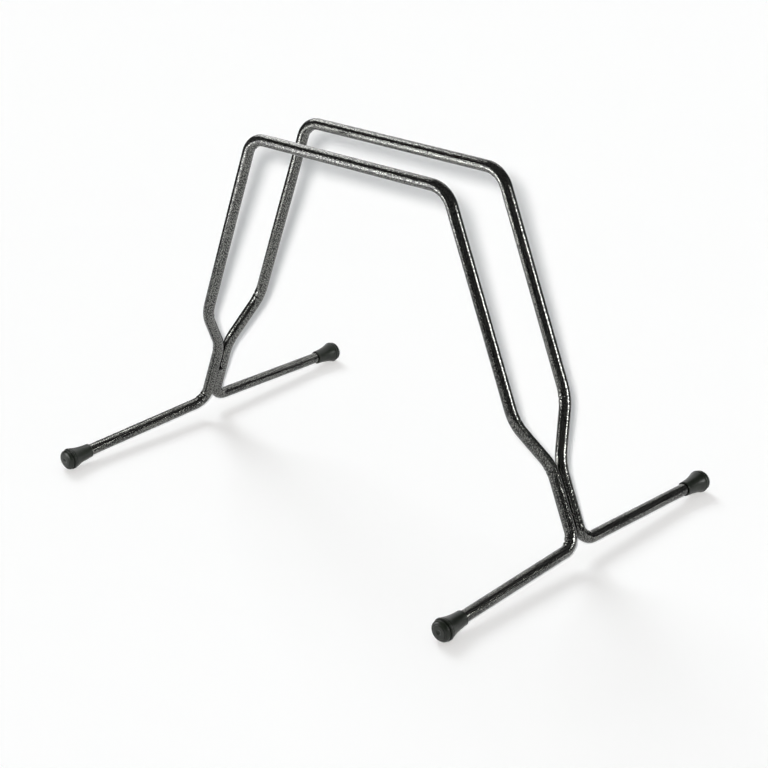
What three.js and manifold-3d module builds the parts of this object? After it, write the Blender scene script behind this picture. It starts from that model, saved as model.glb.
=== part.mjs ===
// Floor rack for one bicycle wheel: two bent steel tubes, welded side by side, on four rubber ferrules.
//
// Lengths are millimetres and angles are degrees. X runs along the wheel, Y runs across it and Z is up.
// The origin is on the floor, in the middle of the rack. Front is -Y, rear is +Y, left is -X, right is +X.
//
// Each hoop is one tube. Its two ends are feet, which lie nearly flat on the floor. From the foot corner
// the tube climbs in the leaning plane of one end of the rack: first touching the other hoop's tube, then
// spreading away from it, then running straight up to the top bar. The wheel stands between the hoops.

import * as THREE from "three";
import { mergeVertices } from "three/addons/utils/BufferGeometryUtils.js";
import Module from "manifold-3d";

const wasm = await Module();
wasm.setup();

// ---- Tube ----
const tubeDiameter = 12;
const tubeWall = 1.5;
const tubeClearance = 0.3; // kept between a tube and whatever touches it

// ---- Hoops: heights are measured from the foot corner's axis to the named axis ----
const baseLength = 512; // between the axes of the two foot corners
const topLength = 254; // between the points where the sides' axes meet the top bar's
const hoopHeight = 328; // to the top bar
const touchHeight = 72; // to where the two tubes start to spread
const spreadHeight = 122; // to where the sides reach their full spread
const wheelGap = 64; // clear width between the two hoops
const legSlope = 2; // how far short of square to the sides the legs are bent
const footBendRadius = 16; // bend radii are those of the tube's axis
const neckBendRadius = 48;
const topBendRadius = 25;
const rackWidth = 398; // over the middles of the ferrules' tips

// ---- Ferrules: distances along a ferrule are measured from its open end ----
const ferruleLength = 32;
const gripDepth = 22; // length of tube inside the ferrule
const lipDiameter = 14;
const lipLength = 1;
const collarDiameter = 15;
const collarLength = 5;
const waistDiameter = 17.6; // midway between the collar and the rim
const rimDiameter = 22.4; // the widest ring, which stands on the floor
const shoulderLength = 6.5; // from the rim to the tip
const endDiameter = 13; // the flat disc at the tip
const restDepth = 0.4; // how deep the rim is worn flat where it stands

// ---- Washers, between the tube's end and the bottom of the ferrule's bore ----
const washerDiameter = 12;
const washerBore = 5;
const washerThickness = 1.5;

// ---- Welds, in the valley between the tubes on the face towards the middle of the rack ----
const weldStart = 16; // along the tubes, from the foot corner
const weldLength = 30;
const weldWidth = 10; // of the bar that the bead would be, if the tubes didn't cut into it
const weldDrop = 0.2; // how far the bead's face lies below the tubes' own faces

// ---- Facets ----
const tubeSides = 16; // a multiple of four, so that the tube has flats to its front, rear, top and bottom
const boreSides = 12; // leaves the wall the same area as a round tube's
const bendStep = 10; // the most that one facet of a bend turns
const ferruleSides = 20;
const flareSteps = 5;
const shoulderSteps = 4;
const weldCapSteps = 3;
const weldSides = 16;

// ---- Worked out from the sizes above ----
const tubeRadius = tubeDiameter / 2;
const flatDistance = tubeRadius * Math.cos(Math.PI / tubeSides); // from the tube's axis to its flats
const touchOffset = flatDistance + tubeClearance / 2;
const spreadOffset = wheelGap / 2 + tubeRadius;
const lean = Math.atan((baseLength - topLength) / 2 / hoopHeight); // of the sides, from upright
const slope = THREE.MathUtils.degToRad(legSlope);
const legReach = (rackWidth / 2 - touchOffset) / Math.cos(slope); // foot corner to ferrule tip
const ferruleStart = legReach - ferruleLength;
const tubeReach = ferruleStart + gripDepth; // foot corner to the tube's end
const washerReach = tubeReach + tubeClearance;
const boreDepth = gripDepth + washerThickness + 2 * tubeClearance;
const rimReach = legReach - shoulderLength; // foot corner to the rim

// The legs leave the foot corners outwards, and fall a little towards their tips.
const legFall = Math.sin(slope) * Math.cos(lean);
const cornerHeight = (rimDiameter / 2) * Math.cos(Math.asin(legFall)) - restDepth + rimReach * legFall;

// ---- Materials ----
const enamel = () => new THREE.MeshStandardMaterial({ color: 0x4a4a47, roughness: 0.35, metalness: 0.6 });
const rubber = () => new THREE.MeshStandardMaterial({ color: 0x2b2d2b, roughness: 0.7, metalness: 0 });
const zincSteel = () => new THREE.MeshStandardMaterial({ color: 0xb4b6b8, roughness: 0.35, metalness: 1 });

// ---- Solids ----
function solidOf(geometry) {
  const bare = geometry.clone();
  bare.deleteAttribute("normal");
  bare.deleteAttribute("uv");
  const merged = mergeVertices(bare);
  return new wasm.Manifold(
    new wasm.Mesh({
      numProp: 3,
      vertProperties: new Float32Array(merged.attributes.position.array),
      triVerts: new Uint32Array(merged.index.array),
    }),
  );
}

function geometryOf(solid) {
  const mesh = solid.getMesh();
  const indexed = new THREE.BufferGeometry();
  indexed.setAttribute("position", new THREE.BufferAttribute(mesh.vertProperties, 3));
  indexed.setIndex(new THREE.BufferAttribute(mesh.triVerts, 1));
  const geometry = indexed.toNonIndexed();
  geometry.computeVertexNormals();
  return geometry;
}

// ---- A bent tube's axis: straight runs between corners, with an arc at each corner but the ends ----
class BentAxis extends THREE.Curve {
  constructor(corners, radii, firstNormal) {
    super();
    this.stations = [];
    const first = corners[0];
    const last = corners[corners.length - 1];
    this.add(first, corners[1].clone().sub(first).normalize());
    for (let i = 1; i < corners.length - 1; i++) {
      this.bend(corners[i - 1], corners[i], corners[i + 1], radii[i]);
    }
    this.add(last, last.clone().sub(corners[corners.length - 2]).normalize());
    this.turnNormals(firstNormal);
  }

  add(point, tangent) {
    this.stations.push({ point, tangent });
  }

  // The arc takes at most half of each straight run beside it.
  bend(before, corner, after, radius) {
    const runIn = corner.clone().sub(before);
    const runOut = after.clone().sub(corner);
    const room = Math.min(runIn.length(), runOut.length()) / 2;
    const ahead = runIn.normalize();
    const turn = ahead.angleTo(runOut);
    const reach = Math.min(radius * Math.tan(turn / 2), room);
    const arcRadius = reach / Math.tan(turn / 2);
    const inward = runOut.normalize().addScaledVector(ahead, -Math.cos(turn)).normalize();
    const start = corner.clone().addScaledVector(ahead, -reach);
    const steps = Math.ceil(THREE.MathUtils.radToDeg(turn) / bendStep);
    for (let i = 0; i <= steps; i++) {
      const angle = (turn * i) / steps;
      const point = start.clone();
      point.addScaledVector(ahead, arcRadius * Math.sin(angle));
      point.addScaledVector(inward, arcRadius * (1 - Math.cos(angle)));
      const tangent = ahead.clone().multiplyScalar(Math.cos(angle));
      tangent.addScaledVector(inward, Math.sin(angle));
      this.add(point, tangent);
    }
  }

  // Each ring's normal follows the bend from the ring before, so that the tube never twists.
  turnNormals(firstNormal) {
    const turn = new THREE.Quaternion();
    let normal = firstNormal.clone();
    this.stations.forEach((station, i) => {
      if (i > 0) turn.setFromUnitVectors(this.stations[i - 1].tangent, station.tangent);
      normal = normal.clone().applyQuaternion(turn);
      station.normal = normal;
      station.binormal = new THREE.Vector3().crossVectors(station.tangent, normal);
    });
  }

  getPoint(t, target = new THREE.Vector3()) {
    return target.copy(this.stations[Math.round(t * (this.stations.length - 1))].point);
  }

  getPointAt(t, target) {
    return this.getPoint(t, target);
  }

  computeFrenetFrames() {
    return {
      tangents: this.stations.map((station) => station.tangent),
      normals: this.stations.map((station) => station.normal),
      binormals: this.stations.map((station) => station.binormal),
    };
  }
}

// A ring with a flat, not an edge, towards each of the four sides.
function ring(radius, sides) {
  const points = [];
  for (let i = 0; i < sides; i++) {
    const angle = ((i + 0.5) / sides) * 2 * Math.PI;
    points.push(new THREE.Vector2(radius * Math.cos(angle), radius * Math.sin(angle)));
  }
  return points;
}

function sweep(axis, outerRadius, boreRadius) {
  const section = new THREE.Shape(ring(outerRadius, tubeSides));
  if (boreRadius) section.holes.push(new THREE.Path(ring(boreRadius, boreSides)));
  return new THREE.ExtrudeGeometry(section, { steps: axis.stations.length - 1, extrudePath: axis });
}

// ---- The hoop's axis, as the front hoop has it, with the foot corners at height 0 ----
const upSlope = new THREE.Vector3(-Math.sin(lean), 0, Math.cos(lean)); // up the right-hand side
const legAlong = new THREE.Vector3(0, -1, 0)
  .multiplyScalar(Math.cos(slope))
  .addScaledVector(upSlope, -Math.sin(slope)); // down the right-hand leg

function onSide(height, offset) {
  return new THREE.Vector3(baseLength / 2 - height * Math.tan(lean), -offset, height);
}

const footCorner = onSide(0, touchOffset);
const rightHalf = [
  { point: footCorner.clone().addScaledVector(legAlong, tubeReach), radius: 0 },
  { point: footCorner, radius: footBendRadius },
  { point: onSide(touchHeight, touchOffset), radius: neckBendRadius },
  { point: onSide(spreadHeight, spreadOffset), radius: neckBendRadius },
  { point: onSide(hoopHeight, spreadOffset), radius: topBendRadius },
];
const mirrored = ({ point, radius }) => ({ point: point.clone().setX(-point.x), radius });
const hoopCorners = [...rightHalf, ...rightHalf.map(mirrored).reverse()];
const sideNormal = new THREE.Vector3(Math.cos(lean), 0, Math.sin(lean)); // outwards, on the right
const hoopAxis = new BentAxis(
  hoopCorners.map((corner) => corner.point),
  hoopCorners.map((corner) => corner.radius),
  sideNormal,
);
const hoopGeometry = sweep(hoopAxis, tubeRadius, tubeRadius - tubeWall);

// ---- Weld bead, as the right-hand junction has it ----
function weldGeometry() {
  const crown = tubeRadius - weldDrop;
  const bar = new THREE.CapsuleGeometry(crown / 2, weldLength - crown, weldCapSteps, weldSides);
  bar.scale(weldWidth / crown, 1, 1);
  const inwards = sideNormal.clone().negate();
  const placed = new THREE.Matrix4().makeBasis(
    new THREE.Vector3().crossVectors(upSlope, inwards),
    upSlope,
    inwards,
  );
  const middle = new THREE.Vector3(baseLength / 2, 0, 0)
    .addScaledVector(upSlope, weldStart + weldLength / 2)
    .addScaledVector(inwards, crown / 2);
  bar.applyMatrix4(placed.setPosition(middle));

  const cleared = sweep(hoopAxis, tubeRadius + tubeClearance);
  const frontTube = solidOf(cleared);
  const rearTube = solidOf(cleared.clone().rotateZ(Math.PI));
  return geometryOf(solidOf(bar).subtract(frontTube).subtract(rearTube));
}

// ---- Ferrule and washer: turned about their Y axis, which runs from the open end to the tip ----
const boreRadius = (tubeRadius + tubeClearance) / Math.cos(Math.PI / ferruleSides);

function ferruleProfile() {
  const rimRadius = rimDiameter / 2;
  const collarRadius = collarDiameter / 2;
  const rimPlace = ferruleLength - shoulderLength;
  const flare = new THREE.QuadraticBezierCurve(
    new THREE.Vector2(collarRadius, collarLength),
    new THREE.Vector2(waistDiameter - (collarRadius + rimRadius) / 2, (collarLength + rimPlace) / 2),
    new THREE.Vector2(rimRadius, rimPlace),
  );
  const shoulder = new THREE.QuadraticBezierCurve(
    new THREE.Vector2(rimRadius, rimPlace),
    new THREE.Vector2(rimRadius, ferruleLength),
    new THREE.Vector2(endDiameter / 2, ferruleLength),
  );
  return [
    new THREE.Vector2(0, boreDepth),
    new THREE.Vector2(boreRadius, boreDepth),
    new THREE.Vector2(boreRadius, 0),
    new THREE.Vector2(lipDiameter / 2, 0),
    new THREE.Vector2(collarRadius, lipLength),
    ...flare.getPoints(flareSteps),
    ...shoulder.getPoints(shoulderSteps).slice(1),
    new THREE.Vector2(0, ferruleLength),
  ];
}

function washerProfile() {
  return [
    new THREE.Vector2(washerBore / 2, 0),
    new THREE.Vector2(washerDiameter / 2, 0),
    new THREE.Vector2(washerDiameter / 2, washerThickness),
    new THREE.Vector2(washerBore / 2, washerThickness),
    new THREE.Vector2(washerBore / 2, 0),
  ];
}

// Everything of the ferrule that lies below the floor is cut away, which leaves the flat that it stands on.
function ferruleGeometry(placed) {
  const turned = new THREE.LatheGeometry(ferruleProfile(), ferruleSides);
  const floorSize = 4 * ferruleLength;
  const floor = new THREE.BoxGeometry(floorSize, floorSize, floorSize);
  const tip = new THREE.Vector3(0, ferruleLength, 0).applyMatrix4(placed);
  floor.translate(tip.x, tip.y, -cornerHeight - floorSize / 2);
  floor.applyMatrix4(placed.clone().invert());
  return geometryOf(solidOf(turned).subtract(solidOf(floor)));
}

// ---- Assembly ----
function place(mesh, name, matrix) {
  mesh.name = name;
  if (matrix) matrix.decompose(mesh.position, mesh.quaternion, mesh.scale);
  return mesh;
}

// One hoop with its two feet. The rear one is the front one turned half round.
function halfRack(name, turned) {
  const half = new THREE.Group();
  half.rotation.z = turned ? Math.PI : 0;
  half.add(place(new THREE.Mesh(hoopGeometry, enamel()), `${name}_hoop`));
  for (const end of [-1, 1]) {
    const side = end > 0 !== turned ? "right" : "left";
    const along = legAlong.clone();
    const corner = footCorner.clone();
    along.x *= end;
    corner.x *= end;
    const upright = new THREE.Vector3(0, 0, 1).addScaledVector(along, -along.z).normalize();
    const level = new THREE.Vector3().crossVectors(along, upright);
    const seatedAt = (reach) => {
      const matrix = new THREE.Matrix4().makeBasis(level, along, upright);
      return matrix.setPosition(corner.clone().addScaledVector(along, reach));
    };
    const seat = seatedAt(ferruleStart);
    half.add(place(new THREE.Mesh(ferruleGeometry(seat), rubber()), `${name}_${side}_ferrule`, seat));
    const washer = new THREE.LatheGeometry(washerProfile(), ferruleSides);
    half.add(place(new THREE.Mesh(washer, zincSteel()), `${name}_${side}_washer`, seatedAt(washerReach)));
  }
  return half;
}

const rack = new THREE.Group();
rack.position.z = cornerHeight;
rack.add(halfRack("front", false));
rack.add(halfRack("rear", true));
const bead = weldGeometry();
const rightWeld = place(new THREE.Mesh(bead, enamel()), "right_weld");
const leftWeld = place(new THREE.Mesh(bead, enamel()), "left_weld");
leftWeld.rotation.z = Math.PI;
rack.add(rightWeld, leftWeld);

const model = new THREE.Group();
model.add(rack);

export default model;
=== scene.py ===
# %% [markdown]
# # A floor rack for one bicycle wheel
#
# The real rack is two hoops of bent steel tube, welded side by side and painted with a grey hammer-finish
# enamel. Its four feet wear black rubber ferrules. This lesson makes it in Blender: first the tubes, then
# the welds and the ferrules, then the paint and the rubber, and last the light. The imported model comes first,
# because it says where each piece is. X runs along the wheel, Y across it, and Z is up.

# %% Load the frame
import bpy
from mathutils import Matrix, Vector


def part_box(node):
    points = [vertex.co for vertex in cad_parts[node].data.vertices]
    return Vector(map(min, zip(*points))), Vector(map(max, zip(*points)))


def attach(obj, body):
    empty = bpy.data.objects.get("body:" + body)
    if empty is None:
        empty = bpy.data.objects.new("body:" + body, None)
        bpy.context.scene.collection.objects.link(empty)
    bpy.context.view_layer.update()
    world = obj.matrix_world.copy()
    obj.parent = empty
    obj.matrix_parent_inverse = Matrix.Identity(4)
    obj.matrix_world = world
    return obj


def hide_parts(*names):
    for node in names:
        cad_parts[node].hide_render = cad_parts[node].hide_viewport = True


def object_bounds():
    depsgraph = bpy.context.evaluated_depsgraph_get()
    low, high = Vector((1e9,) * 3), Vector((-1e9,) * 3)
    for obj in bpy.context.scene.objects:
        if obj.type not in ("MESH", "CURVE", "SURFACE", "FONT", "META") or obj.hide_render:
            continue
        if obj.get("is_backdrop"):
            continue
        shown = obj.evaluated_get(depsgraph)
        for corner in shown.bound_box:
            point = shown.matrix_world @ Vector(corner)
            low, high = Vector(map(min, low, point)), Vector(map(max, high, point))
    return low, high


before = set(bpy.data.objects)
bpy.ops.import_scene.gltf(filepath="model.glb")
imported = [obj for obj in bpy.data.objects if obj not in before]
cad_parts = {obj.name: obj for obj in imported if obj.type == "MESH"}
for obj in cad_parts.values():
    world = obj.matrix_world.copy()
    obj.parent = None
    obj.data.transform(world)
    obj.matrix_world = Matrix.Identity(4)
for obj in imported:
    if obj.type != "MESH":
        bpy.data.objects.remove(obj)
cad_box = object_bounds()
print("CAD nodes:", ", ".join(sorted(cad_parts)))

# %% Blender, its mesh library and its vectors
from math import ceil, cos, degrees, pi, radians, sin, tan

import bmesh
import bpy
from mathutils import Matrix, Quaternion, Vector

MM = 0.001  # Blender counts in metres, and this rack is drawn in millimetres
print("Blender", bpy.app.version_string)

# %% [markdown]
# ## The camera
#
# A photograph of straight tubes tells where its camera stood, because each edge has to land on its own line.
# This place, turn and lens bring every tube of the model onto its tube in the picture, to about half a pixel.
# The camera is the first thing made, so that each piece can be looked at as it is added.

# %% Camera
CAMERA_PLACE = Vector((1.2051, -1.2590, 0.8594))
CAMERA_AZIMUTH = radians(43.52)  # 0 looks along +Y
CAMERA_ELEVATION = radians(23.38)
CAMERA_ROLL = radians(0.95)
LENS = 89.13  # millimetres, on a sensor 36 mm wide

bpy.ops.object.camera_add(location=CAMERA_PLACE)
camera = bpy.context.active_object
camera.name = "camera"
camera.data.lens = LENS
camera.data.clip_start, camera.data.clip_end = 0.05, 60
camera.rotation_mode = "QUATERNION"
level = Quaternion((0, 0, 1), CAMERA_AZIMUTH) @ Quaternion((1, 0, 0), pi / 2 - CAMERA_ELEVATION)
camera.rotation_quaternion = level @ Quaternion((0, 0, 1), -CAMERA_ROLL)
bpy.context.scene.camera = camera
print("camera at", tuple(round(value, 3) for value in CAMERA_PLACE))

# %% [markdown]
# ## Small tools for the modelling
#
# Every piece starts as one of Blender's primitives and is shaped in edit mode, as by hand. By hand one
# clicks on points and faces, and in a script they are picked by their place. An operator acts on all that is
# selected, so each new piece starts with nothing selected.

# %% Start, pick and finish a piece
def start(name):
    """Give the new primitive its name, put its place into its mesh and open it for editing."""
    piece = bpy.context.active_object
    piece.name = piece.data.name = name
    bpy.ops.object.transform_apply(location=True, rotation=True, scale=True)
    bpy.ops.object.mode_set(mode="EDIT")
    bpy.ops.mesh.select_all(action="SELECT")
    return piece


def pick(wanted):
    """In edit mode, select the points whose place passes the test, and the faces between them."""
    bpy.ops.mesh.select_all(action="DESELECT")
    shape = bmesh.from_edit_mesh(bpy.context.edit_object.data)
    for point in shape.verts:
        if wanted(point.co):
            point.select_set(True)
    shape.select_flush(True)
    bmesh.update_edit_mesh(bpy.context.edit_object.data)
    return sum(point.select for point in shape.verts)


def apply(piece, kind, **settings):
    """Add a modifier, set it and apply it."""
    modifier = piece.modifiers.new(kind.title(), kind)
    for name, value in settings.items():
        setattr(modifier, name, value)
    bpy.ops.object.modifier_apply(modifier=modifier.name)


def only(piece):
    """Make this the one selected object, and the active one."""
    bpy.ops.object.select_all(action="DESELECT")
    piece.select_set(True)
    bpy.context.view_layer.objects.active = piece


def copy_of(piece, name):
    """A copy with its own mesh, selected and active."""
    only(piece)
    bpy.ops.object.duplicate()
    twin = bpy.context.active_object
    twin.name = twin.data.name = name
    return twin


def report(piece):
    """Print how big a piece is and how many triangles it has."""
    triangles = sum(len(face.vertices) - 2 for face in piece.data.polygons)
    size = [round(side / MM, 1) for side in piece.dimensions]
    print(f"{piece.name}: {size} mm, {triangles} triangles")


bpy.ops.object.select_all(action="DESELECT")
bpy.context.tool_settings.mesh_select_mode = (True, False, False)
print("tools ready, nothing selected")

# %% [markdown]
# ## The hoops
#
# Each hoop is one steel tube of 12 mm with eight bends. A tube bender leaves the tube straight between
# bends, so the tube's axis is a chain of straight runs with a round corner between each pair. The corners
# below are those of the front hoop's right half, from the end inside the ferrule to the middle of the top
# bar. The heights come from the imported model, and the other sizes are the rack's own.

# %% The corners of the tube's axis
TUBE_RADIUS = 5.92 * MM  # a round tube with the section of the CAD model's sixteen-sided one
TUBE_WALL = 1.5 * MM
BASE_HALF = 256 * MM  # from the middle of the rack to a foot corner
TOP_HALF = 127 * MM  # and to the point where a side's axis meets the top bar's
HOOP_HEIGHT = 328 * MM
TOUCH_HEIGHT, TOUCH_OFFSET = 72 * MM, 6.035 * MM  # where the tubes start to spread
SPREAD_HEIGHT, SPREAD_OFFSET = 122 * MM, 38 * MM  # and where they have spread
LEG_SLOPE = radians(2)
TUBE_REACH = 183.08 * MM  # from a foot corner to the tube's end
FOOT_BEND, NECK_BEND, TOP_BEND = 16 * MM, 48 * MM, 25 * MM  # radii of the axis

top_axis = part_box("front_hoop")[1].z - TUBE_RADIUS
corner_height = top_axis - HOOP_HEIGHT
lean_run = (BASE_HALF - TOP_HALF) / HOOP_HEIGHT
up_slope = Vector((-lean_run, 0, 1)).normalized()
leg_along = Vector((0, -cos(LEG_SLOPE), 0)) - up_slope * sin(LEG_SLOPE)


def on_side(height, offset):
    """A point on the leaning right-hand side, at a height over the foot corner."""
    return Vector((BASE_HALF - height * lean_run, -offset, corner_height + height))


foot_corner = on_side(0, TOUCH_OFFSET)
half_axis = [
    (foot_corner + leg_along * TUBE_REACH, 0),
    (foot_corner, FOOT_BEND),
    (on_side(TOUCH_HEIGHT, TOUCH_OFFSET), NECK_BEND),
    (on_side(SPREAD_HEIGHT, SPREAD_OFFSET), NECK_BEND),
    (on_side(HOOP_HEIGHT, SPREAD_OFFSET), TOP_BEND),
    (Vector((0, -SPREAD_OFFSET, top_axis)), 0),
]
print("the foot corner's axis is", round(corner_height / MM, 2), "mm above the floor")

# %% [markdown]
# The tube is drawn the way it is bent. A circle is set at the tube's end, extruded along the straight run,
# and spun round the centre of the next bend. A curve with a round bevel would be quicker, but its rings bunch
# up in a tight bend, and here the bends need even rings, because marks are pressed into them afterwards.
# Blender's spin turns clockwise about its axis, so the turn goes in as a negative angle.

# %% Draw half of the front hoop
TUBE_SIDES = 48
STRAIGHT_STEP, BEND_STEP = 6 * MM, 0.9 * MM  # between the rings

tube_start = half_axis[0][0]
bpy.ops.object.select_all(action="DESELECT")
bpy.ops.mesh.primitive_circle_add(
    vertices=TUBE_SIDES, radius=TUBE_RADIUS, location=tube_start,
    rotation=(foot_corner - tube_start).to_track_quat("Z", "X").to_euler(),
)
front_hoop = start("front_hoop_tube")
bends = []
here = tube_start
for (before, _), (corner, radius), (after, _) in zip(half_axis, half_axis[1:], half_axis[2:]):
    ahead, onward = (corner - before).normalized(), (after - corner).normalized()
    turn = ahead.angle(onward)
    axis = ahead.cross(onward).normalized()
    reach = radius * tan(turn / 2)
    bend_start = corner - ahead * reach
    centre = bend_start + axis.cross(ahead) * radius
    steps = ceil((bend_start - here).length / STRAIGHT_STEP)
    for step in range(steps):
        bpy.ops.mesh.extrude_region_move(TRANSFORM_OT_translate={"value": (bend_start - here) / steps})
    bpy.ops.mesh.spin(steps=ceil(radius * turn / BEND_STEP), angle=-turn, center=centre, axis=axis)
    bends.append((centre, axis, radius, turn, (bend_start - centre).normalized()))
    here = corner + onward * reach
last = half_axis[-1][0]
steps = ceil((last - here).length / STRAIGHT_STEP)
for step in range(steps):
    bpy.ops.mesh.extrude_region_move(TRANSFORM_OT_translate={"value": (last - here) / steps})
print("bends of", [f"{degrees(bend[3]):.1f} degrees" for bend in bends])

# %% [markdown]
# A thin tube bent this tightly doesn't stay quite round. On the inside of each bend the wall has nowhere to
# go, so it folds into a small crease with a raised lip on each side. Next to a straight, smooth highlight
# these marks are what makes a bend look like bent steel. Each is pressed with Shrink/Fatten, in strokes that
# take a narrower patch each time, so that the crease is deepest in its middle. The foot bend is the tightest,
# and its crease the deepest.

# %% Press the creases into the bends
CREASE_HALF_WIDTH = 1.1 * MM
LIP_START, LIP_WIDTH = 1.6 * MM, 2.2 * MM  # from the crease's middle
LIP_SHARE = 0.45  # how high a lip stands, for a crease of depth 1
STROKES = (1.0, radians(62)), (0.6, radians(48)), (0.3, radians(32))  # share of length, reach round the tube


def press(bend, near, far, spread, depth):
    """Move the wall between two distances from the bend's middle, on its inside, in or out."""
    centre, axis, radius, turn, first = bend
    middle = Quaternion(axis, turn / 2) @ first

    def inside_of_bend(point):
        arm = point - centre
        flat = arm - axis * arm.dot(axis)
        from_middle = (radius - TUBE_RADIUS) * middle.angle(flat)
        out = flat.length - radius
        round_tube = Vector((-out, arm.dot(axis))).angle(Vector((1, 0)), 0)
        near_tube = abs(Vector((out, arm.dot(axis))).length - TUBE_RADIUS) < TUBE_RADIUS / 3
        return near_tube and near <= from_middle <= far and round_tube < spread

    if pick(inside_of_bend):
        bpy.ops.transform.shrink_fatten(value=-depth)


bpy.ops.mesh.select_all(action="SELECT")
bpy.ops.mesh.normals_make_consistent(inside=False)
foot_bend, lower_neck, upper_neck, top_bend = bends
creases = (foot_bend, 0.30 * MM), (lower_neck, 0.13 * MM), (upper_neck, 0.22 * MM), (top_bend, 0.16 * MM)
for bend, depth in creases:
    for share, spread in STROKES:
        press(bend, 0, CREASE_HALF_WIDTH * share, spread, depth)
        press(bend, LIP_START, LIP_START + LIP_WIDTH * share, spread, -depth * LIP_SHARE)
print("creases pressed into", len(bends), "bends")

# %% [markdown]
# The rest of the hoop is its mirror image, so a Mirror modifier makes it and joins it in the middle of the
# top bar. Solidify then gives the tube its wall, inwards, so the outside keeps its diameter and the open ends
# in the ferrules are real tube ends. The rear hoop is the same hoop, turned half round.

# %% Mirror, wall and second hoop
bpy.ops.object.mode_set(mode="OBJECT")
apply(front_hoop, "MIRROR", use_axis=(True, False, False), use_mirror_merge=True, merge_threshold=0.05 * MM)
bpy.ops.object.mode_set(mode="EDIT")
bpy.ops.mesh.select_all(action="SELECT")
bpy.ops.mesh.remove_doubles(threshold=0.01 * MM)
bpy.ops.mesh.normals_make_consistent(inside=False)
bpy.ops.object.mode_set(mode="OBJECT")
apply(front_hoop, "SOLIDIFY", thickness=TUBE_WALL, offset=-1)
bpy.ops.object.shade_smooth_by_angle(angle=radians(40))

rear_hoop = copy_of(front_hoop, "rear_hoop_tube")
bpy.ops.transform.rotate(value=pi, orient_axis="Z", center_override=(0, 0, 0))
bpy.ops.object.transform_apply(location=True, rotation=True, scale=True)
for hoop in (front_hoop, rear_hoop):
    report(hoop)

# %% [markdown]
# ## The welds
#
# The hoops are joined by two welds, in the valley between the tubes on the faces towards the middle of the
# rack. Each bead fills the valley until it is flush with the tubes, and the paint has smoothed it. A box with
# rounded edges has that flat face, which a cylinder hasn't, and cuts across it give the rings that a weld
# leaves as it freezes behind the torch.

# %% Right-hand bead
WELD_START, WELD_LENGTH = 16 * MM, 30 * MM
WELD_HALF_WIDTH = 4.3 * MM
WELD_FACE, WELD_ROOT = 5.82 * MM, 1.0 * MM  # heights over the plane of the tubes' axes
RIPPLE = 2.4 * MM  # from one ring to the next
RING_HEIGHT, DIP_DEPTH = 0.09 * MM, 0.03 * MM
WELD_ROUNDING = 2.0 * MM

inwards = Vector((-up_slope.z, 0, up_slope.x))
weld_middle = Vector((BASE_HALF, 0, corner_height)) + up_slope * (WELD_START + WELD_LENGTH / 2)
weld_turn = Matrix((inwards.cross(up_slope) * -1, up_slope, inwards)).transposed()
bpy.ops.object.select_all(action="DESELECT")
bpy.ops.mesh.primitive_cube_add(
    size=1, location=weld_middle + inwards * (WELD_FACE + WELD_ROOT) / 2, rotation=weld_turn.to_euler(),
    scale=(2 * WELD_HALF_WIDTH, WELD_LENGTH, WELD_FACE - WELD_ROOT),
)
right_weld = start("right_weld_bead")
bpy.ops.mesh.bevel(offset=WELD_ROUNDING, segments=5, affect="EDGES")
ripples = round((WELD_LENGTH - 3 * WELD_ROUNDING) / RIPPLE)
for number in range(ripples + 1):
    along = (number - ripples / 2) * RIPPLE
    for shift, lift in ((0, RING_HEIGHT), (RIPPLE / 2, -DIP_DEPTH)):
        bpy.ops.mesh.select_all(action="SELECT")
        bpy.ops.mesh.bisect(plane_co=weld_middle + up_slope * (along + shift), plane_no=up_slope)
        bpy.ops.transform.translate(value=inwards * lift)
bpy.ops.object.mode_set(mode="OBJECT")
apply(right_weld, "SUBSURF", levels=1, render_levels=1)
bpy.ops.object.shade_smooth()
left_weld = copy_of(right_weld, "left_weld_bead")
bpy.ops.transform.rotate(value=pi, orient_axis="Z", center_override=(0, 0, 0))
bpy.ops.object.transform_apply(location=True, rotation=True, scale=True)
for weld in (right_weld, left_weld):
    report(weld)

# %% [markdown]
# ## The ferrules
#
# A ferrule is a rubber cup, moulded in one piece and pushed over the tube's end: a straight collar, a flare,
# a rim that stands on the floor, and behind a groove a rounded end disc with a fine ring and a dimple. All of
# it is round, so it is drawn as one stack of rings: up the bore, over the lip, down the outside and across
# the disc. Each step below is a distance from the open end and a radius, in millimetres.

# %% The ferrule's rings
FERRULE_SIDES = 48
GRIP = 22 * MM  # length of tube inside the ferrule
ferrule_start = TUBE_REACH - GRIP  # from the foot corner to the open end
bore_floor, bore_radius = 24.1 * MM, 6.1 * MM
bore_and_lip = [
    (18, 6.1), (6, 6.1), (0.7, 6.1), (0.2, 6.2), (0, 6.4), (0, 6.75), (0.15, 7.0), (0.45, 7.2), (1.0, 7.32),
]
collar_and_flare = [
    (1.7, 7.34), (2.2, 7.3), (3.2, 7.36), (5, 7.5), (8, 7.75), (12, 8.2), (16, 8.85), (19, 9.55),
    (21.5, 10.25), (22.8, 10.6), (23.4, 10.7), (23.7, 10.6), (23.9, 10.5),
]
rim_and_groove = [
    (24.1, 10.6), (24.25, 11.0), (24.5, 11.19), (25.7, 11.19), (26.15, 11.1), (26.4, 10.85), (26.5, 10.5),
    (26.55, 9.9), (26.7, 9.6), (27.6, 9.5), (27.85, 9.6), (27.95, 10.05),
]
end_disc = [
    (28.3, 10.34), (28.8, 10.36), (29.5, 10.2), (30.2, 9.8), (30.8, 9.2), (31.25, 8.4), (31.5, 7.9),
    (31.25, 7.6), (31.25, 7.3), (31.6, 7.05), (31.85, 6.3), (31.95, 5.0), (31.96, 3.2),
    (31.9, 2.6), (31.6, 2.2), (31.2, 1.6), (31.1, 0.8),
]
ferrule_rings = bore_and_lip + collar_and_flare + rim_and_groove + end_disc


def on_leg(distance):
    """A point on the ferrule's axis, counted from its open end."""
    return foot_corner + leg_along * (ferrule_start + distance)


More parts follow.
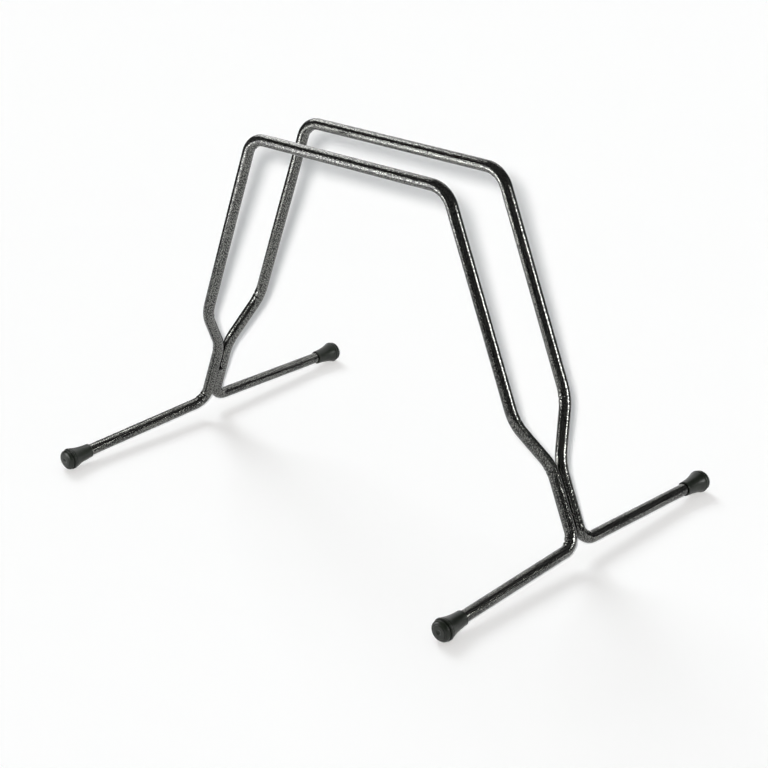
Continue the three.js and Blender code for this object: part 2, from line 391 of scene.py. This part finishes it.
bpy.ops.object.select_all(action="DESELECT")
bpy.ops.mesh.primitive_circle_add(
    vertices=FERRULE_SIDES, radius=bore_radius, fill_type="TRIFAN", location=on_leg(bore_floor),
    rotation=(-leg_along).to_track_quat("Z", "X").to_euler(),
)
front_right = start("front_right_ferrule_cup")
bpy.ops.mesh.region_to_loop()
place, wide = bore_floor, bore_radius
for distance, radius in ferrule_rings:
    distance, radius = distance * MM, radius * MM
    bpy.ops.mesh.extrude_region_move(TRANSFORM_OT_translate={"value": leg_along * (distance - place)})
    bpy.ops.transform.resize(value=[radius / wide] * 3, center_override=on_leg(distance))
    place, wide = distance, radius
bpy.ops.mesh.extrude_region_move(TRANSFORM_OT_translate={"value": (0, 0, 0)})
bpy.ops.mesh.merge(type="CENTER")
bpy.ops.mesh.select_all(action="SELECT")
bpy.ops.mesh.normals_make_consistent(inside=False)
print("ferrule drawn with", len(ferrule_rings) + 1, "rings")

# %% [markdown]
# Rubber gives under the rack's weight, so the rim is flat where it stands. Bisect cuts off what lies below
# the floor and closes the cut. One ferrule is enough: the others are its mirror image and the same two turned
# half round. A mirror turns a mesh inside out, so the mirrored one has its normals recalculated.

# %% Flat on the floor, then four of them
bpy.ops.mesh.bisect(
    plane_co=(0, 0, 0), plane_no=(0, 0, 1), use_fill=True, clear_inner=True, threshold=0.001 * MM,
)
bpy.ops.object.mode_set(mode="OBJECT")
bpy.ops.object.shade_smooth_by_angle(angle=radians(50))

front_left = copy_of(front_right, "front_left_ferrule_cup")
bpy.ops.object.mode_set(mode="EDIT")
bpy.ops.mesh.select_all(action="SELECT")
bpy.ops.transform.mirror(constraint_axis=(True, False, False), center_override=(0, 0, 0))
bpy.ops.mesh.normals_make_consistent(inside=False)
bpy.ops.object.mode_set(mode="OBJECT")
rear_left = copy_of(front_right, "rear_left_ferrule_cup")
bpy.ops.transform.rotate(value=pi, orient_axis="Z", center_override=(0, 0, 0))
bpy.ops.object.transform_apply(location=True, rotation=True, scale=True)
rear_right = copy_of(front_left, "rear_right_ferrule_cup")
bpy.ops.transform.rotate(value=pi, orient_axis="Z", center_override=(0, 0, 0))
bpy.ops.object.transform_apply(location=True, rotation=True, scale=True)
ferrules = {
    "front_right": front_right, "front_left": front_left, "rear_left": rear_left, "rear_right": rear_right,
}
for ferrule in ferrules.values():
    report(ferrule)

# %% [markdown]
# ## The finishes
#
# A material in Blender is a small graph of nodes. Two helpers keep it readable: one turns a colour as it is
# written on the web into the linear numbers that light is reckoned in, and one adds a node with its settings
# and its links.

# %% Colour and node helpers
def colour(code):
    """A written sRGB colour, such as 8a8a84, as linear red, green, blue and alpha."""
    shares = [int(code[i:i + 2], 16) / 255 for i in (0, 2, 4)]
    return [s / 12.92 if s <= 0.04045 else ((s + 0.055) / 1.055) ** 2.4 for s in shares] + [1]


def add(tree, kind, inputs=(), **settings):
    """Add a node, set it, and fill each input with a number, a colour or another node's output."""
    node = tree.nodes.new("ShaderNode" + kind)
    for name, value in settings.items():
        setattr(node, name, value)
    for name, value in dict(inputs).items():
        if isinstance(value, bpy.types.NodeSocket):
            tree.links.new(value, node.inputs[name])
        else:
            node.inputs[name].default_value = value
    return node


def new_material(name):
    """An empty material and its node tree."""
    material = bpy.data.materials.new(name)
    material.use_nodes = True
    material.node_tree.nodes.clear()
    return material, material.node_tree


def ramp(tree, factor, stops):
    """A colour ramp through the given places and colours."""
    node = add(tree, "ValToRGB", {"Fac": factor})
    for (place, code), stop in zip(stops, node.color_ramp.elements):
        stop.position, stop.color = place, colour(code)
    return node.outputs["Color"]


print("mid grey 8a8a84 is", [round(value, 3) for value in colour("8a8a84")[:3]], "in linear light")

# %% [markdown]
# Hammer-finish enamel is a grey paint full of aluminium flakes, with a little silicone that makes it crawl
# as it dries into a skin of small round dimples, one or two millimetres wide. The flakes lie flat in the
# dimples and stand up on the ridges between them, so the dimples are lighter and the ridges darker. Over the
# flakes lies clear, glossy resin. So the paint is a metallic layer under a clear coat. One pattern of cells
# drives both the dimples and the two greys, and a finer one tilts each patch of flakes a little its own way.

# %% Hammer-finish enamel
DIMPLE = 1.35 * MM  # across one dimple
DIMPLE_DEPTH = 0.055 * MM
STRAY, STRAY_LENGTH = 0.8 * MM, 3 * MM  # how far the rows of dimples stray, and over what length
FLAKE, FLAKE_TILT = 0.5 * MM, 0.18  # a patch of flakes, drawn coarser than real so that it shows, and its lean
LIGHT_DIMPLE, DARK_RIDGE = "94958f", "040404"

enamel, tree = new_material("hammertone_enamel")
where = add(tree, "TexCoord").outputs["Object"]
wander = add(tree, "TexNoise", {"Vector": where, "Scale": 1 / STRAY_LENGTH, "Detail": 2.0}).outputs["Color"]
wavy = add(tree, "MixRGB", {"Fac": STRAY, "Color1": where, "Color2": wander}, blend_type="ADD").outputs["Color"]
cells = add(tree, "TexVoronoi", {"Vector": wavy, "Scale": 1 / DIMPLE, "Randomness": 0.5}, feature="F1")
cell = cells.outputs["Distance"]
dimples = add(tree, "Bump", {"Height": cell, "Strength": 1.0, "Distance": DIMPLE_DEPTH}).outputs["Normal"]
greys = ramp(tree, cell, ((0.25, LIGHT_DIMPLE), (0.53, DARK_RIDGE)))
tilts = add(tree, "TexVoronoi", {"Vector": where, "Scale": 1 / FLAKE}).outputs["Color"]
tilts = add(tree, "VectorMath", {0: tilts, 1: (0.5, 0.5, 0.5)}, operation="SUBTRACT").outputs["Vector"]
tilts = add(tree, "VectorMath", {0: tilts, "Scale": FLAKE_TILT}, operation="SCALE").outputs["Vector"]
flakes = add(tree, "VectorMath", {0: dimples, 1: tilts}, operation="ADD").outputs["Vector"]
flakes = add(tree, "VectorMath", {0: flakes}, operation="NORMALIZE").outputs["Vector"]
paint = add(tree, "BsdfPrincipled", {
    "Base Color": greys, "Metallic": 1.0, "Roughness": 0.17, "Specular Tint": colour("808080"),
    "Normal": flakes, "Coat Weight": 1.0, "Coat Roughness": 0.05, "Coat IOR": 1.5, "Coat Normal": dimples,
})
add(tree, "OutputMaterial", {"Surface": paint.outputs["BSDF"]})
print("enamel has", len(tree.nodes), "nodes")

# %% [markdown]
# The ferrules are moulded black rubber. Rubber from a spark-eroded mould has a fine, even grain that spreads
# its highlights, and it is never pure black: it has a green-grey bloom that is a little uneven. Ambient
# occlusion tells how much open air a point sees. Where it sees little, in the grooves, painted shade darkens
# the colour, and more roughness takes away their shine.

# %% Moulded rubber
GRAIN, GRAIN_DEPTH = 0.9 * MM, 0.07 * MM  # coarser than a real mould's grain, which would not show from here
BLOOM = 6 * MM  # across one cloud of bloom
GROOVE_REACH = 2.5 * MM  # a wall nearer than this shuts out some air

rubber, tree = new_material("moulded_rubber")
where = add(tree, "TexCoord").outputs["Object"]
bloom = add(tree, "TexNoise", {"Vector": where, "Scale": 1 / BLOOM, "Detail": 4.0}).outputs["Fac"]
grain = add(tree, "TexNoise", {"Vector": where, "Scale": 1 / GRAIN, "Detail": 2.0}).outputs["Fac"]
skin = add(tree, "Bump", {"Height": grain, "Strength": 1.0, "Distance": GRAIN_DEPTH}).outputs["Normal"]
open_air = add(tree, "AmbientOcclusion", {"Distance": GROOVE_REACH}, samples=8, only_local=True).outputs["AO"]
open_air = add(tree, "Math", {0: open_air, 1: 2.0}, operation="POWER").outputs["Value"]
black = ramp(tree, bloom, ((0.35, "0d110c"), (0.65, "181d16")))
# painted shade: where ambient occlusion finds little open air, the rubber's colour is mixed towards near-black
# 030403
black = add(tree, "MixRGB", {"Fac": open_air, "Color1": colour("030403"), "Color2": black}).outputs["Color"]
sheen = add(tree, "MapRange", {"Value": bloom, "To Min": 0.26, "To Max": 0.40}).outputs["Result"]
dull = add(tree, "MapRange", {"Value": open_air, "To Min": 0.35, "To Max": 0.0}).outputs["Result"]
sheen = add(tree, "Math", {0: sheen, 1: dull}, operation="ADD").outputs["Value"]
moulding = add(tree, "BsdfPrincipled", {
    "Base Color": black, "Roughness": sheen, "IOR": 1.52, "Specular IOR Level": 0.38, "Normal": skin,
})
add(tree, "OutputMaterial", {"Surface": moulding.outputs["BSDF"]})
print("rubber has", len(tree.nodes), "nodes")

# %% [markdown]
# A small steel washer lies in the bottom of each ferrule, to keep the tube from cutting through. It is bright
# zinc plate: a pale bluish metal with a fine spangle. The washers keep their CAD shape and get this finish.

# %% Zinc-plated steel
SPANGLE = 0.8 * MM

zinc, tree = new_material("zinc_plated_steel")
where = add(tree, "TexCoord").outputs["Object"]
spangle = add(tree, "TexVoronoi", {"Vector": where, "Scale": 1 / SPANGLE}).outputs["Color"]
plate = add(tree, "MixRGB", {"Fac": 0.12, "Color1": colour("b4b6b8"), "Color2": spangle}).outputs["Color"]
metal = add(tree, "BsdfPrincipled", {"Base Color": plate, "Metallic": 1.0, "Roughness": 0.35})
add(tree, "OutputMaterial", {"Surface": metal.outputs["BSDF"]})
print("zinc has", len(tree.nodes), "nodes")

# %% [markdown]
# ## Joining the pieces to the frame
#
# Every piece rides on the rack's one body, takes its material, and hides the plain CAD node that it replaces.

# %% Ride, replace and paint
def finish(piece, node, material):
    """Give a piece its material and its body, and hide the CAD node that it replaces."""
    piece.data.materials.clear()
    piece.data.materials.append(material)
    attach(piece, "root")
    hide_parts(node)


finish(front_hoop, "front_hoop", enamel)
finish(rear_hoop, "rear_hoop", enamel)
finish(right_weld, "right_weld", enamel)
finish(left_weld, "left_weld", enamel)
for name, ferrule in ferrules.items():
    finish(ferrule, f"{name}_ferrule", rubber)
    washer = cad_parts[f"{name}_washer"]
    for slot in washer.material_slots:
        slot.material = zinc

# %% [markdown]
# ## The studio
#
# The rack stands on a white sheet that fills the picture. The camera sees the sheet white all over, and the
# rack's shadow stays on it. Glossy tubes mirror their whole surroundings, so what they see matters as much as
# what lights them: near the rack they mirror the white sheet, and past its edge a dim room. A faint glow for
# the camera and the mirror images alone brings the sheet up to white.

# %% Floor
FLOOR_SIZE = 24
FADE_START, SHEET_END = 0.75, 1.05  # metres from the middle: the mirrored sheet starts to fade, and ends
GLOW = 0.05
ROOM_LIGHT = 0.12  # the dim room's brightness, where white is 1

bpy.ops.object.select_all(action="DESELECT")
bpy.ops.mesh.primitive_plane_add(size=FLOOR_SIZE, location=(0, 0, 0))
floor = bpy.context.active_object
floor.name = "floor"
sheet, tree = new_material("white_sheet")
rays = add(tree, "LightPath").outputs
where = add(tree, "TexCoord").outputs["Object"]
away = add(tree, "VectorMath", {0: where}, operation="LENGTH").outputs["Value"]
past = add(tree, "MapRange", {"Value": away, "From Min": FADE_START, "From Max": SHEET_END}).outputs["Result"]
dark = add(tree, "Math", {0: past, 1: rays["Is Glossy Ray"]}, operation="MULTIPLY").outputs["Value"]
lit = add(tree, "BsdfDiffuse", {"Color": colour("fafafa")}).outputs["BSDF"]
seen = add(tree, "Math", {0: rays["Is Camera Ray"], 1: rays["Is Glossy Ray"]}, operation="MAXIMUM")
glow = add(tree, "Math", {0: seen.outputs["Value"], 1: GLOW}, operation="MULTIPLY").outputs["Value"]
white = add(tree, "Emission", {"Color": (1, 1, 1, 1), "Strength": glow}).outputs["Emission"]
lit = add(tree, "AddShader", {0: lit, 1: white}).outputs["Shader"]
room = add(tree, "Emission", {"Color": (1, 1, 1, 1), "Strength": ROOM_LIGHT}).outputs["Emission"]
surface = add(tree, "MixShader", {"Fac": dark, 1: lit, 2: room}).outputs["Shader"]
add(tree, "OutputMaterial", {"Surface": surface})
floor.data.materials.append(sheet)
floor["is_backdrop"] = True
print("floor", FLOOR_SIZE, "m wide")

# %% [markdown]
# Three softboxes stand round the rack, and each draws its own line of light along the tubes. One hangs over
# the left end, one stands low at the front left, and one low at the back right. A wide pale screen behind the
# left end gives the bars and legs their light upper edge. These four only show in the gloss. The sheet and
# the rubber take their light from an even light overhead, a low one from the left that gives the legs their
# shadow, and a lamp beside the camera.

# %% Lamps
COOL, WARM = (0.94, 0.98, 1.0), (1.0, 0.985, 0.97)  # so that the shadow of the warm lamp is a little blue


def softbox(name, place, target, width, height, brightness):
    """A flat lamp that faces a target. A white sheet has brightness 1."""
    facing = Vector(place) - Vector(target)
    bpy.ops.object.light_add(type="AREA", location=place, rotation=facing.to_track_quat("Z", "Y").to_euler())
    light = bpy.context.active_object
    light.name = name
    light.data.shape, light.data.size, light.data.size_y = "RECTANGLE", width, height
    light.data.energy = brightness * pi * width * height
    light.visible_camera = light.visible_diffuse = False


def sunlight(name, towards, strength, angle):
    """An even light from one side, as wide as the angle in degrees, that gloss doesn't mirror."""
    bpy.ops.object.light_add(type="SUN", rotation=Vector(towards).to_track_quat("Z", "Y").to_euler())
    light = bpy.context.active_object
    light.name = name
    light.data.energy, light.data.angle = strength, radians(angle)
    light.data.color = COOL
    light.visible_glossy = False


softbox("left_softbox", (-0.52, 0.14, 0.75), (0, 0, 0.15), 0.42, 0.42, 3.5)
softbox("front_left_softbox", (-0.497, -0.68, 0.285), (0, 0, 0.93), 0.40, 0.64, 6.2)
softbox("back_right_softbox", (1.33, 0.42, 0.50), (0, 0, 0.15), 0.38, 0.36, 13.5)
softbox("back_left_screen", (-0.50, 0.62, 0.60), (-0.50, 0, 0.60), 1.22, 1.20, 1.04)
sunlight("overhead", (-0.15, 0.15, 1.0), 0.21, 60)
sunlight("from_the_left", (-0.91, 0.42, 0.70), 1.35, 24)

# %% [markdown]
# The lamp beside the camera puts each tube's shadow just to its right and below it. A lamp's light spreads
# out with distance and falls more slantwise on the far side of the floor. Constant falloff undoes the first,
# and a strength that grows with distance undoes the second, so the sheet is lit alike all over. The room
# itself is dim in the mirror images and in the light it gives, and white where the camera looks past the sheet.

# %% The lamp beside the camera, and the room
KEY_OFFSET = Vector((-0.032, 0.032, 0))  # to the camera's left and above it
KEY_RADIUS = 0.024
KEY_STRENGTH = 25.0

bpy.ops.object.light_add(type="POINT", location=camera.matrix_basis @ KEY_OFFSET)
key = bpy.context.active_object
key.name = "beside_camera"
key.data.energy = 1.0  # the strength is set by the nodes below
key.data.shadow_soft_size = KEY_RADIUS
key.data.color = WARM
key.visible_glossy = False
key.data.use_nodes = True
tree = key.data.node_tree
flat = add(tree, "LightFalloff", {"Strength": KEY_STRENGTH}).outputs["Constant"]
distance = add(tree, "LightPath").outputs["Ray Length"]
even = add(tree, "Math", {0: flat, 1: distance}, operation="MULTIPLY").outputs["Value"]
tree.links.new(even, tree.nodes["Emission"].inputs["Strength"])

world = bpy.data.worlds.new("studio")
bpy.context.scene.world = world
world.use_nodes = True
tree = world.node_tree
tree.nodes.clear()
rays = add(tree, "LightPath").outputs
shown = add(tree, "MapRange", {"Value": rays["Is Camera Ray"], "To Min": ROOM_LIGHT, "To Max": 1.0})
air = add(tree, "Background", {"Color": (1, 1, 1, 1), "Strength": shown.outputs["Result"]})
add(tree, "OutputWorld", {"Surface": air.outputs["Background"]})
bpy.context.scene.view_settings.view_transform = "Standard"

# %% [markdown]
# ## Sizes and finish
#
# The dressed rack has to stay in the CAD model's box, so both boxes are written down side by side.

# %% Write the sizes
new_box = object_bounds()
for name, box in (("CAD", cad_box), ("visual", new_box)):
    print(name, [[round(value / MM, 2) for value in corner] for corner in box])
